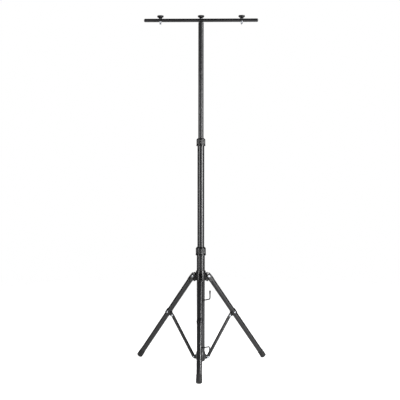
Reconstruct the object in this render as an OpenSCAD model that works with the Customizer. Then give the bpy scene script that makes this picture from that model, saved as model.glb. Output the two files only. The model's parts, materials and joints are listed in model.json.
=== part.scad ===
// Telescopic tripod stand with a cross bar, for work lights and other field gear.
// Origin: the point on the floor under the mast axis. +Z is up the mast.
// The front leg points along -Y, the other two at 120 degrees to it.

/* [Mast] */
// Outside diameter of the outer mast tube
outer_od = 38; // [34:0.5:46]
// Outside diameter of the middle mast tube
middle_od = 32; // [29:0.5:33]
// Outside diameter of the upper mast tube
upper_od = 25; // [20:0.5:27]
// Wall of the outer mast tube
outer_wall = 1.5; // [1:0.1:2]
// Wall of the middle and upper mast tubes
mast_wall = 1.2; // [0.8:0.1:1.8]
// Length of the outer tube above the top hub
outer_above_hub = 92.9; // [81:0.1:252]
// Visible length of the middle tube above the outer tube's end
middle_reach = 514; // [300:1:700]
// Visible length of the upper tube above the middle tube's end
upper_reach = 554.5; // [300:0.5:700]
// Length of the guide bush inside the outer tube
middle_bush_len = 60; // [40:1:90]
// Length of the guide bush inside the middle tube
upper_bush_len = 55; // [40:1:90]

/* [Twist locks] */
// Height of the lower lock collar
lower_collar_h = 36; // [30:1:45]
// Height of the upper lock collar
upper_collar_h = 33; // [30:1:40]
// How far a collar's outside stands out from the tube that it sits on
collar_stand = 4.6; // [4.2:0.1:7]
// Grip flutes round each collar
collar_flutes = 12; // [8:1:18]
// Depth of a grip flute
flute_depth = 1.1; // [0.4:0.1:1.1]

/* [Cross bar] */
// Length of the cross bar without its end caps
bar_len = 522; // [400:1:700]
// Outside diameter of the cross bar
bar_od = 16; // [14:0.5:22]
// Wall of the cross bar
bar_wall = 1.2; // [1:0.1:2]
// Distance from the mast axis to an outer knob screw
knob_at = 190; // [120:1:200]
// Height of the cross bar's axis above the upper tube's end
bar_rise = 12.5; // [12:0.5:18]
// Diameter of a knob's head
knob_d = 30; // [24:1:40]
// Height of a knob's head above the cross bar
knob_h = 14.5; // [12:0.5:20]
// Diameter of the screws in the knobs
stud_d = 8; // [6:0.5:9]
// How far an outer screw stands out below the cross bar
stud_out = 11; // [6:0.5:30]

/* [Legs] */
// Angle between a leg and the mast
leg_spread = 36.83; // [30:0.1:40]
// Length of a leg from its top pivot to the tube's lower end
leg_len = 512; // [480:1:620]
// Outside diameter of a leg tube
leg_od = 25; // [22:0.5:28]
// Wall of a leg tube
leg_wall = 1.2; // [0.8:0.1:2]
// Distance from the mast axis to a leg's top pivot
top_pivot_r = 40; // [39:0.5:46]
// Distance of the top pivot inwards from the leg's axis
pivot_offset = 3.5; // [0:0.5:4]
// Distance down the leg from the top pivot to the brace bracket
bracket_at = 230; // [200:1:260]
// Distance of the brace pin inwards from the leg's axis
brace_pin_offset = 27.5; // [26:0.5:30]
// How far a foot stands out from its leg tube
foot_stand = 1.5; // [0.5:0.1:7.5]
// Depth of the flat tread under a foot
tread_depth = 0.6; // [0.4:0.1:2]
// Length of the foot's sleeve on the leg tube
foot_sleeve = 28; // [20:1:50]

/* [Braces and hubs] */
// Distance from the mast axis to a brace's lower pivot
low_pivot_r = 37; // [35:0.5:40]
// Height of the braces' lower pivots above the floor
low_pivot_z = 35; // [34:0.5:60]
// Depth of a brace channel, across its pins
brace_depth = 12; // [10:0.5:14]
// Width of a brace channel, along its pins
brace_width = 10; // [9:0.5:14]
// Sheet thickness of a brace channel
brace_wall = 1.5; // [1:0.1:2]
// Height of the sliding top hub's sleeve
top_hub_h = 45; // [40:1:60]
// Height of the lower hub's sleeve above its tail
low_hub_h = 36; // [30:1:60]
// Wall of the lower hub's sleeve
low_hub_wall = 2.6; // [2.5:0.1:6]
// Thickness of a top hub ear
top_ear_w = 7.4; // [6:0.1:9]
// Rivet diameter
rivet_d = 6; // [4:0.5:7]
// Diameter of the rivet heads
rivet_head_d = 8.6; // [8:0.1:11]

/* [Cable hooks] */
// Diameter of the hook wire
hook_wire = 5.2; // [3:0.1:6]
// Distance from the leg's axis to a hook's tip
hook_reach = 48; // [35:1:60]
// Length of a hook's tip beyond its arm
hook_tip = 44; // [25:1:50]
// Turn of the hooks round the leg, away from the side
hook_turn = 22; // [0:1:40]
// Distance down the leg to the upper hook
upper_hook_at = 125; // [90:1:180]
// Distance down the leg to the lower hook
lower_hook_at = 360; // [280:1:440]

/* [Fits] */
// Radial running clearance of a pin or a sliding bush
run_gap = 0.06; // [0.02:0.01:0.1]
// Clearance between faces that move past each other
side_gap = 0.4; // [0.3:0.05:0.6]
// Radial clearance at the pivots where the fold linkage is open
open_gap = 0.8; // [0.7:0.05:1]
// Radial clearance between the sliding top hub and the mast
hub_gap = 0.8; // [0.7:0.05:1]

/* [Hidden] */
$fn = 64;
eps = 0.01;
over = 1;

FRONT = -90;
RIGHT = 30;
LEFT = 150;

// Mast radii
outer_r = outer_od / 2;
middle_r = middle_od / 2;
upper_r = upper_od / 2;
outer_bore = outer_r - outer_wall;
middle_bore = middle_r - mast_wall;
upper_bore = upper_r - mast_wall;

// Leg frame: its origin is on the leg's axis beside the top pivot, its Z points up the leg
// and its X points outwards, square to the leg
leg_r = leg_od / 2;
leg_bore = leg_r - leg_wall;
foot_r = leg_r + foot_stand;
foot_round = 5;
foot_end = 4.5;
foot_wall = 1.1;
foot_rim = 2;
foot_centre_z = (foot_r - foot_round) * sin(leg_spread) + foot_end * cos(leg_spread)
                + foot_round - tread_depth;
leg_z = foot_centre_z + leg_len * cos(leg_spread);
leg_x = top_pivot_r + pivot_offset * cos(leg_spread);
top_pivot_z = leg_z - pivot_offset * sin(leg_spread);
rivet_r = rivet_d / 2;
rivet_head_r = rivet_head_d / 2;
rivet_head_h = 1.7;
set_rivet_r = rivet_r - 1;
brace_pin_r = rivet_r - 0.5;
rivet_seat = 0.6;

// Heights of the top hub and of the mast's tubes
hub_below_pivot = 17.5;
top_hub_low = top_pivot_z - hub_below_pivot;
top_hub_top = top_hub_low + top_hub_h;
outer_top = top_hub_top + outer_above_hub;
middle_top = outer_top + middle_reach;
upper_top = middle_top + upper_reach;
stop_gap = 0.5;
middle_bottom = outer_top - stop_gap - middle_bush_len;
upper_bottom = middle_top - stop_gap - upper_bush_len;
bush_lip = 3;

// Twist locks: the threaded ferrule, the split collet on it and the collar round both
ferrule_wall = 2.3;
ferrule_skirt = 17;
ferrule_flange_h = 3;
ferrule_lip_h = 2;
collet_h = 8;
collet_low_wall = 1.2;
collet_top_wall = 1.6;
collet_split = 2;
collar_chamfer = 5.5;
flute_r = 5;
collar_rim = 0.8;
collar_rim_h = 2.4;

// Cross bar
bar_r = bar_od / 2;
bar_z = upper_top + bar_rise;
stud_r = stud_d / 2;
nut_h = 6.5;
nut_af = 13;
nut_up = 5;
screw_bush_r = stud_r + 1.6;
screw_bush_out = 0.6;
plug_flange_h = 2;
plug_len = 38;
cap_dome = 6;
cap_spigot = 12;

// Knobs
knob_lobes = 8;
knob_stem_r = 7;
knob_stem_share = 0.15;
knob_cone_share = 0.44;
knob_edge = 1;
knob_roof = 3;
scallop_r = 3.6;
scallop_depth = 1;

// Leg fork: two cheeks on the hub's ear, a collar and a spigot in the tube
fork_w = 17;
fork_half = 11;
fork_round = 9.5;
fork_top = 8;
fork_waist = 10;
fork_slot_depth = 29;
fork_collar_h = 5;
fork_spigot = 34;
fork_slot = top_ear_w + 2 * side_gap;
leg_tube_top = -(fork_slot_depth + fork_collar_h);

// Brace bracket
bracket_wall = 2.4;
bracket_h = 22;
lug_end_r = 6.4;
lug_w = brace_width - 2 * brace_wall - 2 * side_gap;

// Brace: from the lower hub's pin up to the bracket's pin
brace_pin_x = leg_x + bracket_at * sin(leg_spread) - brace_pin_offset * cos(leg_spread);
brace_pin_z = leg_z - bracket_at * cos(leg_spread) - brace_pin_offset * sin(leg_spread);
brace_run = brace_pin_x - low_pivot_r;
brace_climb = brace_pin_z - low_pivot_z;
brace_len = sqrt(brace_run * brace_run + brace_climb * brace_climb);
brace_angle = atan2(brace_run, brace_climb);
web_trim = 14;

// Top hub
hub_bore = outer_r + hub_gap;
hub_top_r = outer_r + 4;
hub_low_r = outer_r + 5.4;
ear_round = 8.5;
ear_heel_r = 3;
ear_heel_in = 5;
ear_heel_down = 22;
ear_root = 1.5;
clamp_share = 0.62;
clamp_z = top_hub_low + top_hub_h * clamp_share;
clamp_boss_r = 8.5;
clamp_boss_out = 9;
clamp_knob_d = 28;
clamp_knob_h = 15;
clamp_stud_r = 3;
clamp_knob_y = outer_r + clamp_boss_out + side_gap;
insert_r = 4.6;
pad_h = 2;
pad_r = 3.6;
pad_gap = 0.2;

// Lower hub
low_hub_r = outer_r + low_hub_wall;
hub_below_low_pivot = 8;
low_hub_low = low_pivot_z - hub_below_low_pivot;
low_hub_top = low_hub_low + low_hub_h;
low_hub_tail = 7;
tail_r = outer_r - 3;
outer_bottom = low_hub_low - 5;
low_ear_round = 6.4;
low_ear_climb = 20;
hub_rivet_z = low_hub_top - 10;

// Cable hooks
hook_bend = 6;
hook_cap_r = hook_wire / 2 + 0.9;
hook_cap_len = 15;
hook_flange_r = 5.2;
hook_flange_h = 2.2;
hook_head_r = 3.4;
hook_head_h = 1.2;
hook_inside = 2;

// A tube from its bottom at z with height h
module tube(r_out, r_in, z, h) {
    translate([0, 0, z]) difference() {
        cylinder(r = r_out, h = h);
        translate([0, 0, -over]) cylinder(r = r_in, h = h + 2 * over);
    }
}

// A cylinder along Y, centred on the X-Z plane
module cross_pin(r, len) {
    rotate([90, 0, 0]) cylinder(r = r, h = len, center = true);
}

// A plate in the X-Z plane, centred on it, from an outline given as [x, z]
module cross_plate(w) {
    rotate([90, 0, 0]) translate([0, 0, -w / 2]) linear_extrude(w) children();
}

// Moves a leg's part from the leg frame to its place round the mast
module on_leg(azimuth) {
    rotate([0, 0, azimuth])
        translate([leg_x, 0, leg_z])
            rotate([0, -leg_spread, 0]) children();
}

// Moves a brace's part from the brace frame to its place round the mast
module on_brace(azimuth) {
    rotate([0, 0, azimuth])
        translate([low_pivot_r, 0, low_pivot_z])
            rotate([0, brace_angle, 0]) children();
}

// The domed head of a rivet, standing on z = 0
module rivet_head() {
    rotate_extrude() polygon([[0, 0], [rivet_head_r, 0], [rivet_head_r - 0.3, 0.7],
                              [rivet_head_r - 1.5, 1.4], [0, rivet_head_h]]);
}

// A rivet of radius r along Y whose heads sit on faces w apart
module cross_rivet(r, w) {
    color("silver") {
        cross_pin(r, w);
        for (side = [0, 180])
            rotate([0, 0, side]) translate([0, w / 2, 0]) rotate([-90, 0, 0]) rivet_head();
    }
}

// The two flat seats that a rivet's heads need on a round wall of radius r
module rivet_seats(r) {
    for (side = [0, 180])
        rotate([0, 0, side]) translate([0, r - rivet_seat, 0]) rotate([-90, 0, 0])
            cylinder(r = rivet_head_r + side_gap, h = rivet_seat + over);
}

// ---------------------------------------------------------------- mast

module mast_tube(r, bore, low, top) {
    color([0.13, 0.13, 0.14]) tube(r, bore, low, top - low);
}

module outer_tube() {
    difference() {
        mast_tube(outer_r, outer_bore, outer_bottom, outer_top);
        translate([0, 0, hub_rivet_z]) cross_pin(set_rivet_r, 3 * outer_r);
    }
}

module middle_tube() {
    mast_tube(middle_r, middle_bore, middle_bottom, middle_top);
}

module upper_tube() {
    mast_tube(upper_r, upper_bore, upper_bottom, upper_top);
}

// A nylon sleeve on the lower end of an inner tube, with a lip under the tube
module guide_bush(r, bore, low, h) {
    color("dimgray") {
        tube(bore - run_gap, r, low, h);
        tube(bore - run_gap, r - mast_wall, low - bush_lip, bush_lip);
    }
}

module middle_guide_bush() {
    guide_bush(middle_r, outer_bore, middle_bottom, middle_bush_len);
}

module upper_guide_bush() {
    guide_bush(upper_r, middle_bore, upper_bottom, upper_bush_len);
}

// The threaded ferrule on the end of tube r, whose lip stops the bush of the inner tube
module ferrule(r, inner_r, top) {
    r_out = r + ferrule_wall;
    r_flange = r + collar_stand + collar_rim;
    color([0.09, 0.09, 0.1]) {
        tube(r_out, r, top - ferrule_skirt, ferrule_skirt);
        tube(r_flange, r, top - ferrule_skirt - ferrule_flange_h, ferrule_flange_h);
        tube(r_out, inner_r + side_gap, top, ferrule_lip_h);
    }
}

// The split tapered collet that a collar squeezes on the inner tube
module collet(r, inner_r, top) {
    z = top + ferrule_lip_h;
    color("ivory") difference() {
        translate([0, 0, z])
            cylinder(r1 = r + collet_low_wall, r2 = inner_r + collet_top_wall, h = collet_h);
        translate([0, 0, z - over]) cylinder(r = inner_r + run_gap, h = collet_h + 2 * over);
        translate([0, -collet_split / 2, z - over])
            cube([r + ferrule_wall, collet_split, collet_h + 2 * over]);
    }
}

// The lock collar: thread wall below, taper round the collet, grip flutes outside
module lock_collar(r, inner_r, top, h) {
    r_out = r + collar_stand;
    r_thread = r + ferrule_wall + side_gap;
    z0 = top - ferrule_skirt + side_gap;
    z_collet = top + ferrule_lip_h;
    color([0.07, 0.07, 0.075]) difference() {
        translate([0, 0, z0]) rotate_extrude() polygon([
            [0, 0], [r_out + collar_rim, 0], [r_out + collar_rim, collar_rim_h * 0.6],
            [r_out, collar_rim_h], [r_out, h - collar_chamfer],
            [r_out - collar_chamfer * 0.9, h - 0.8], [r_out - collar_chamfer, h], [0, h]]);
        translate([0, 0, z0 - over])
            cylinder(r = r_thread, h = z_collet - z0 + over);
        translate([0, 0, z_collet - eps])
            cylinder(r1 = r + collet_low_wall + side_gap, r2 = inner_r + collet_top_wall + side_gap,
                     h = collet_h + side_gap);
        translate([0, 0, z0]) cylinder(r = inner_r + side_gap, h = h + over);
        for (i = [0 : collar_flutes - 1])
            rotate([0, 0, (i + 0.5) * 360 / collar_flutes])
                translate([r_out + flute_r - flute_depth, 0, z0 + collar_rim_h + 1])
                    cylinder(r = flute_r, h = h - collar_chamfer - collar_rim_h - 3);
    }
}

module lower_ferrule() {
    ferrule(outer_r, middle_r, outer_top);
}

module lower_collet() {
    collet(outer_r, middle_r, outer_top);
}

module lower_collar() {
    lock_collar(outer_r, middle_r, outer_top, lower_collar_h);
}

module upper_ferrule() {
    ferrule(middle_r, upper_r, middle_top);
}

module upper_collet() {
    collet(middle_r, upper_r, middle_top);
}

module upper_collar() {
    lock_collar(middle_r, upper_r, middle_top, upper_collar_h);
}

// ---------------------------------------------------------------- cross bar

// The nylon plug in the mast's top, with the neck that the cross bar stands on
module mast_top_plug() {
    neck_r = upper_r - 3;
    neck_top = bar_z - bar_r - side_gap;
    color([0.08, 0.08, 0.085]) difference() {
        union() {
            translate([0, 0, upper_top - plug_len])
                cylinder(r = upper_bore, h = plug_len);
            translate([0, 0, upper_top]) cylinder(r = upper_r, h = plug_flange_h);
            translate([0, 0, upper_top]) cylinder(r = neck_r, h = neck_top - upper_top);
        }
        translate([0, 0, upper_top - plug_len - over])
            cylinder(r = stud_r + side_gap, h = plug_len + bar_rise + over);
        translate([0, 0, upper_top - plug_len - over])
            cylinder(r = nut_af / sqrt(3), h = nut_up + nut_h + over, $fn = 6);
    }
}

// The nut that the centre screw holds in
module plug_nut() {
    color("silver") translate([0, 0, upper_top - plug_len + nut_up]) difference() {
        cylinder(r = nut_af / sqrt(3) - run_gap, h = nut_h, $fn = 6);
        translate([0, 0, -over]) cylinder(r = stud_r + run_gap, h = nut_h + 2 * over);
    }
}

module t_bar() {
    color([0.1, 0.1, 0.105]) translate([0, 0, bar_z]) difference() {
        rotate([0, 90, 0]) difference() {
            cylinder(r = bar_r, h = bar_len, center = true);
            cylinder(r = bar_r - bar_wall, h = bar_len + 2 * over, center = true);
        }
        for (x = [-knob_at, 0, knob_at])
            translate([x, 0, -bar_od]) cylinder(r = stud_r + side_gap, h = 2 * bar_od);
        for (x = [-knob_at, knob_at])
            translate([x, 0, -bar_od]) cylinder(r = screw_bush_r, h = bar_od);
    }
}

// The domed plugs in the two ends of the cross bar
module t_bar_end_caps() {
    color([0.07, 0.07, 0.075]) translate([0, 0, bar_z])
        for (side = [0, 180]) rotate([0, 0, side]) translate([bar_len / 2, 0, 0])
            rotate([0, 90, 0]) {
                translate([0, 0, -cap_spigot]) cylinder(r = bar_r - bar_wall, h = cap_spigot);
                rotate_extrude() polygon([[0, 0], [bar_r, 0], [bar_r, cap_dome * 0.25],
                    [bar_r * 0.92, cap_dome * 0.6], [bar_r * 0.7, cap_dome * 0.88], [0, cap_dome]]);
            }
}

// The steel screw bushes pressed into the underside of the cross bar
module t_bar_screw_bushes() {
    color("silver") for (x = [-knob_at, knob_at])
        translate([x, 0, 0])
            tube(screw_bush_r, stud_r + run_gap, bar_z - bar_r - screw_bush_out, bar_r);
}

// A scalloped knob on its stem, standing on z = 0, with a blind hole for its screw
module knob(r, h, screw_r) {
    head_low = h * knob_cone_share;
    difference() {
        rotate_extrude() polygon([[0, 0], [knob_stem_r, 0], [knob_stem_r, h * knob_stem_share],
            [r - knob_edge, head_low], [r, head_low + knob_edge], [r, h - 2 * knob_edge],
            [r - knob_edge, h - knob_edge], [r * 0.6, h - knob_edge * 0.2], [0, h]]);
        translate([0, 0, -over]) cylinder(r = screw_r, h = h - knob_roof + over);
        for (i = [0 : knob_lobes - 1]) rotate([0, 0, (i + 0.5) * 360 / knob_lobes])
            translate([r + scallop_r - scallop_depth, 0, -over])
                cylinder(r = scallop_r, h = h + 2 * over);
    }
}

module bar_knob(x) {
    color([0.07, 0.07, 0.075]) translate([x, 0, bar_z + bar_r + side_gap])
        knob(knob_d / 2, knob_h - side_gap, stud_r);
}

// A knob's screw, from z_low up into the knob
module bar_stud(x, z_low) {
    tip = 0.8;
    groove_z = bar_z - bar_r - 1.8;
    z_top = bar_z + bar_r + knob_h - knob_roof;
    color("silver") translate([x, 0, 0]) difference() {
        union() {
            translate([0, 0, z_low + tip]) cylinder(r = stud_r, h = z_top - z_low - tip);
            translate([0, 0, z_low]) cylinder(r1 = stud_r - tip, r2 = stud_r, h = tip);
        }
        tube(2 * stud_r, stud_r - 0.4, groove_z, 1);
    }
}

module knob_left() {
    bar_knob(-knob_at);
}

module knob_centre() {
    bar_knob(0);
}

module knob_right() {
    bar_knob(knob_at);
}

module stud_left() {
    bar_stud(-knob_at, bar_z - bar_r - stud_out);
}

module stud_centre() {
    bar_stud(0, upper_top - plug_len + 2);
}

module stud_right() {
    bar_stud(knob_at, bar_z - bar_r - stud_out);
}

// ---------------------------------------------------------------- top hub

// One ear in the X-Z plane: from the sleeve to the pivot, with a heel below
module top_ear() {
    heel_x = top_pivot_r - ear_heel_in;
    root_x = hub_bore + ear_root;
    slope = atan2(ear_heel_down, ear_heel_in);
    translate([0, 0, top_pivot_z]) cross_plate(top_ear_w) {
        translate([top_pivot_r, 0]) circle(r = ear_round);
        translate([heel_x, -ear_heel_down]) circle(r = ear_heel_r);
        polygon([[root_x, -hub_below_pivot],
                 [heel_x - ear_heel_r * cos(slope), -ear_heel_down - ear_heel_r * sin(slope)],
                 [heel_x + ear_heel_r * sin(slope), -ear_heel_down - ear_heel_r * cos(slope)],
                 [top_pivot_r + ear_round * sin(slope), -ear_round * cos(slope)],
                 [top_pivot_r, ear_round], [root_x, ear_round]]);
    }
}

module top_hub() {
    color([0.075, 0.075, 0.08]) difference() {
        union() {
            translate([0, 0, top_hub_low]) cylinder(r1 = hub_low_r, r2 = hub_top_r, h = top_hub_h);
            for (azimuth = [FRONT, RIGHT, LEFT]) rotate([0, 0, azimuth]) top_ear();
            translate([0, 0, clamp_z]) rotate([-90, 0, 0])
                cylinder(r = clamp_boss_r, h = outer_r + clamp_boss_out);
        }
        translate([0, 0, top_hub_low - over]) cylinder(r = hub_bore, h = top_hub_h + 2 * over);
        translate([0, 0, top_pivot_z]) {
            rotate([0, 0, FRONT]) translate([top_pivot_r, 0, 0])
                cross_pin(rivet_r + run_gap, 2 * top_ear_w);
            for (azimuth = [RIGHT, LEFT]) rotate([0, 0, azimuth]) translate([top_pivot_r, 0, 0])
                cross_pin(rivet_r + open_gap, 2 * top_ear_w);
        }
        translate([0, 0, clamp_z]) rotate([-90, 0, 0])
            cylinder(r = insert_r, h = outer_r + clamp_boss_out + over);
    }
}

// The brass insert that the clamp screw turns in
module hub_insert() {
    inner_end = hub_bore + pad_h + 3 * pad_gap;
    color("goldenrod") translate([0, 0, clamp_z]) rotate([-90, 0, 0])
        tube(insert_r, clamp_stud_r + run_gap, inner_end, outer_r + clamp_boss_out - inner_end);
}

// The nylon pad that the clamp screw presses on the mast
module clamp_pad() {
    color("ivory") translate([0, 0, clamp_z]) rotate([-90, 0, 0])
        translate([0, 0, hub_bore]) cylinder(r = pad_r, h = pad_h - pad_gap);
}

module clamp_knob() {
    color([0.07, 0.07, 0.075]) translate([0, clamp_knob_y, clamp_z]) rotate([-90, 0, 0])
        knob(clamp_knob_d / 2, clamp_knob_h, clamp_stud_r);
}

module clamp_stud() {
    inner_end = hub_bore + pad_h + pad_gap;
    outer_end = clamp_knob_y + clamp_knob_h - knob_roof;
    color("silver") translate([0, 0, clamp_z]) rotate([-90, 0, 0])
        translate([0, 0, inner_end]) cylinder(r = clamp_stud_r, h = outer_end - inner_end);
}

// ---------------------------------------------------------------- lower hub

module low_ear() {
    translate([0, 0, low_pivot_z]) cross_plate(lug_w) {
        translate([low_pivot_r, 0]) circle(r = low_ear_round);
        polygon([[outer_r + ear_root, -hub_below_low_pivot], [low_pivot_r, -low_ear_round],
                 [low_pivot_r, low_ear_round], [outer_r + ear_root, low_ear_climb]]);
    }
}

module lower_hub() {
    color([0.08, 0.08, 0.085]) difference() {
        union() {
            translate([0, 0, low_hub_low]) cylinder(r = low_hub_r, h = low_hub_h);
            translate([0, 0, low_hub_low - low_hub_tail])
                cylinder(r1 = tail_r, r2 = low_hub_r, h = low_hub_tail);
            for (azimuth = [FRONT, RIGHT, LEFT]) rotate([0, 0, azimuth]) low_ear();
        }
        translate([0, 0, outer_bottom]) cylinder(r = outer_r, h = low_hub_h + low_hub_tail + over);
        for (azimuth = [FRONT, RIGHT, LEFT])
            rotate([0, 0, azimuth]) translate([low_pivot_r, 0, low_pivot_z])
                cross_pin(brace_pin_r, 2 * brace_width);
        translate([0, 0, hub_rivet_z]) {
            cross_pin(set_rivet_r, 3 * outer_r);
            rivet_seats(low_hub_r);
        }
    }
}

// The two blind rivets that hold the lower hub on the mast and stay clear of its bore
module lower_hub_rivets() {
    inner = outer_bore + side_gap;
    color("silver") translate([0, 0, hub_rivet_z])
        for (side = [0, 180]) rotate([0, 0, side]) rotate([-90, 0, 0]) {
            translate([0, 0, inner])
                cylinder(r = set_rivet_r, h = low_hub_r - rivet_seat - inner);
            translate([0, 0, low_hub_r - rivet_seat]) rivet_head();
        }
}

module brace_hub_pins() {
    for (azimuth = [FRONT, RIGHT, LEFT])
        rotate([0, 0, azimuth]) translate([low_pivot_r, 0, low_pivot_z]) pivot_rivet();
}

// A rivet on which a brace turns: a pin in the lug and heads outside the brace
module pivot_rivet() {
    cross_rivet(brace_pin_r, brace_width + 2 * side_gap);
}

// ---------------------------------------------------------------- legs

module leg_tube() {
    color([0.13, 0.13, 0.14]) difference() {
        tube(leg_r, leg_bore, -leg_len, leg_len + leg_tube_top);
        translate([0, 0, -bracket_at]) cross_pin(set_rivet_r, 2 * leg_od);
    }
}

// The front leg's tube also has a hole for each cable hook
module front_leg_tube() {
    difference() {
        leg_tube();
        for (down = [upper_hook_at, lower_hook_at])
            translate([0, 0, -down]) rotate([0, 0, 90 - hook_turn])
                rotate([0, 90, 0]) cylinder(r = hook_wire / 2, h = leg_od);
    }
}

module leg_fork() {
    color([0.09, 0.09, 0.095]) difference() {
        union() {
            cross_plate(fork_w) {
                translate([0, fork_top]) circle(r = fork_round);
                polygon([[-fork_round, fork_top], [fork_round, fork_top],
                         [fork_half, -fork_waist], [fork_half, -fork_slot_depth],
                         [-fork_half, -fork_slot_depth], [-fork_half, -fork_waist]]);
            }
            translate([0, 0, leg_tube_top]) cylinder(r = leg_r, h = fork_collar_h);
            translate([0, 0, leg_tube_top - fork_spigot]) cylinder(r = leg_bore, h = fork_spigot);
        }
        translate([-leg_od, -fork_slot / 2, -fork_slot_depth])
            cube([2 * leg_od, fork_slot, 2 * fork_slot_depth]);
        translate([-pivot_offset, 0, 0]) cross_pin(rivet_r, 2 * fork_w);
    }
}

// A rubber cap over the leg's end: a sleeve and a thick end with a rounded edge
module foot() {
    color([0.06, 0.06, 0.062]) difference() {
        union() {
            translate([0, 0, -leg_len - foot_end]) {
                rotate_extrude() translate([foot_r - foot_round, 0]) circle(r = foot_round);
                translate([0, 0, -foot_round]) cylinder(r = foot_r - foot_round, h = foot_round);
                cylinder(r1 = foot_r, r2 = leg_r + foot_wall, h = foot_end + foot_sleeve - foot_rim);
            }
            translate([0, 0, -leg_len + foot_sleeve - foot_rim])
                cylinder(r1 = leg_r + foot_wall, r2 = leg_r + side_gap, h = foot_rim);
        }
        translate([0, 0, -leg_len]) cylinder(r = leg_r, h = foot_sleeve + over);
    }
}

// A foot in place, cut flat where it stands on the floor
module foot_at(azimuth) {
    difference() {
        on_leg(azimuth) foot();
        rotate([0, 0, azimuth]) translate([leg_x, -2 * leg_od, -leg_od])
            cube([leg_len, 4 * leg_od, leg_od]);
    }
}

// The bracket: a ring on the leg and the lug that carries the brace's pin
module bracket() {
    ring_r = leg_r + bracket_wall;
    pin_x = -brace_pin_offset;
    color([0.085, 0.085, 0.09]) translate([0, 0, -bracket_at]) difference() {
        union() {
            translate([0, 0, -bracket_h / 2]) cylinder(r = ring_r, h = bracket_h);
            cross_plate(lug_w) {
                translate([pin_x, 0]) circle(r = lug_end_r);
                polygon([[pin_x, lug_end_r], [pin_x, -lug_end_r],
                         [-leg_r - 0.5, -bracket_h / 2], [-leg_r - 0.5, bracket_h / 2]]);
            }
        }
        translate([0, 0, -bracket_h]) cylinder(r = leg_r, h = 2 * bracket_h);
        cross_pin(set_rivet_r, 2 * leg_od);
        rivet_seats(ring_r);
        translate([pin_x, 0, 0]) cross_pin(brace_pin_r, 2 * brace_width);
    }
}

// The rivet through the bracket and the leg
module bracket_rivet() {
    translate([0, 0, -bracket_at])
        cross_rivet(set_rivet_r, 2 * (leg_r + bracket_wall - rivet_seat));
}

module leg_pin() {
    translate([-pivot_offset, 0, 0]) cross_rivet(rivet_r, fork_w);
}

module brace_pin() {
    translate([-brace_pin_offset, 0, -bracket_at]) pivot_rivet();
}

// A pressed channel: two cheeks with round ends and a web between, short of the pins
module brace() {
    half = brace_depth / 2;
    cheek_y = (brace_width - brace_wall) / 2;
    color([0.1, 0.1, 0.105]) difference() {
        union() {
            for (side = [-1, 1]) translate([0, side * cheek_y, 0]) cross_plate(brace_wall) {
                circle(r = half);
                translate([0, brace_len]) circle(r = half);
                translate([-half, 0]) square([brace_depth, brace_len]);
            }
            translate([half - brace_wall, -brace_width / 2, web_trim])
                cube([brace_wall, brace_width, brace_len - 2 * web_trim]);
        }
        for (z = [0, brace_len]) translate([0, 0, z])
            cross_pin(brace_pin_r + run_gap, 2 * brace_width);
    }
}

// ---------------------------------------------------------------- cable hooks

// A bent wire hook whose arm stands out from the leg, with its tip towards +Z
module hook_wire_shape() {
    r = hook_wire / 2;
    arm = hook_reach - hook_bend;
    rotate([0, 90, 0]) {
        translate([0, 0, leg_bore - hook_inside]) {
            cylinder(r = hook_head_r, h = hook_head_h);
            cylinder(r = r, h = arm - leg_bore + hook_inside);
        }
    }
    difference() {
        rotate([0, 90, 0]) cylinder(r = hook_flange_r, h = leg_r + hook_flange_h);
        translate([0, 0, -leg_r]) cylinder(r = leg_r, h = leg_od);
    }
    translate([arm, 0, hook_bend]) rotate([90, 0, 0]) rotate([0, 0, -90])
        rotate_extrude(angle = 90) translate([hook_bend, 0]) circle(r = r);
    translate([hook_reach, 0, hook_bend]) cylinder(r = r, h = hook_tip - hook_bend - 1);
}

// Places a hook on the front leg; up is 1 for a tip that points up, -1 for down
module on_front_leg(down, up) {
    on_leg(FRONT) translate([0, 0, -down]) rotate([0, 0, 90 - hook_turn])
        mirror([0, 0, up > 0 ? 0 : 1]) children();
}

module cable_hook(down, up) {
    color([0.08, 0.08, 0.085]) on_front_leg(down, up) hook_wire_shape();
}

module upper_cable_hook() {
    cable_hook(upper_hook_at, 1);
}

module lower_cable_hook() {
    cable_hook(lower_hook_at, -1);
}

// The dipped plastic tips of the two hooks
module cable_hook_tips() {
    color([0.06, 0.06, 0.062])
        for (hook = [[upper_hook_at, 1], [lower_hook_at, -1]])
            on_front_leg(hook[0], hook[1])
                translate([hook_reach, 0, hook_tip - hook_cap_len]) difference() {
                    union() {
                        cylinder(r = hook_cap_r, h = hook_cap_len - 1.5);
                        translate([0, 0, hook_cap_len - 1.5])
                            cylinder(r1 = hook_cap_r, r2 = hook_cap_r - 1.5, h = 1.5);
                    }
                    translate([0, 0, -over]) cylinder(r = hook_wire / 2, h = hook_cap_len - 1 + over);
                }
}

// ---------------------------------------------------------------- placed parts

outer_tube();
lower_hub();
lower_hub_rivets();
brace_hub_pins();
lower_ferrule();
lower_collet();
lower_collar();
middle_tube();
middle_guide_bush();
upper_ferrule();
upper_collet();
upper_collar();
upper_tube();
upper_guide_bush();
mast_top_plug();
plug_nut();
t_bar();
t_bar_end_caps();
t_bar_screw_bushes();
knob_left();
stud_left();
knob_centre();
stud_centre();
knob_right();
stud_right();
top_hub();
hub_insert();
clamp_pad();
clamp_knob();
clamp_stud();
on_leg(FRONT) front_leg_tube();  // leg_tube_front
on_leg(RIGHT) leg_tube();  // leg_tube_right
on_leg(LEFT) leg_tube();  // leg_tube_left
on_leg(FRONT) leg_fork();  // leg_fork_front
on_leg(RIGHT) leg_fork();  // leg_fork_right
on_leg(LEFT) leg_fork();  // leg_fork_left
on_leg(FRONT) leg_pin();  // leg_pin_front
on_leg(RIGHT) leg_pin();  // leg_pin_right
on_leg(LEFT) leg_pin();  // leg_pin_left
foot_at(FRONT);  // foot_front
foot_at(RIGHT);  // foot_right
foot_at(LEFT);  // foot_left
on_leg(FRONT) bracket();  // bracket_front
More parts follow.
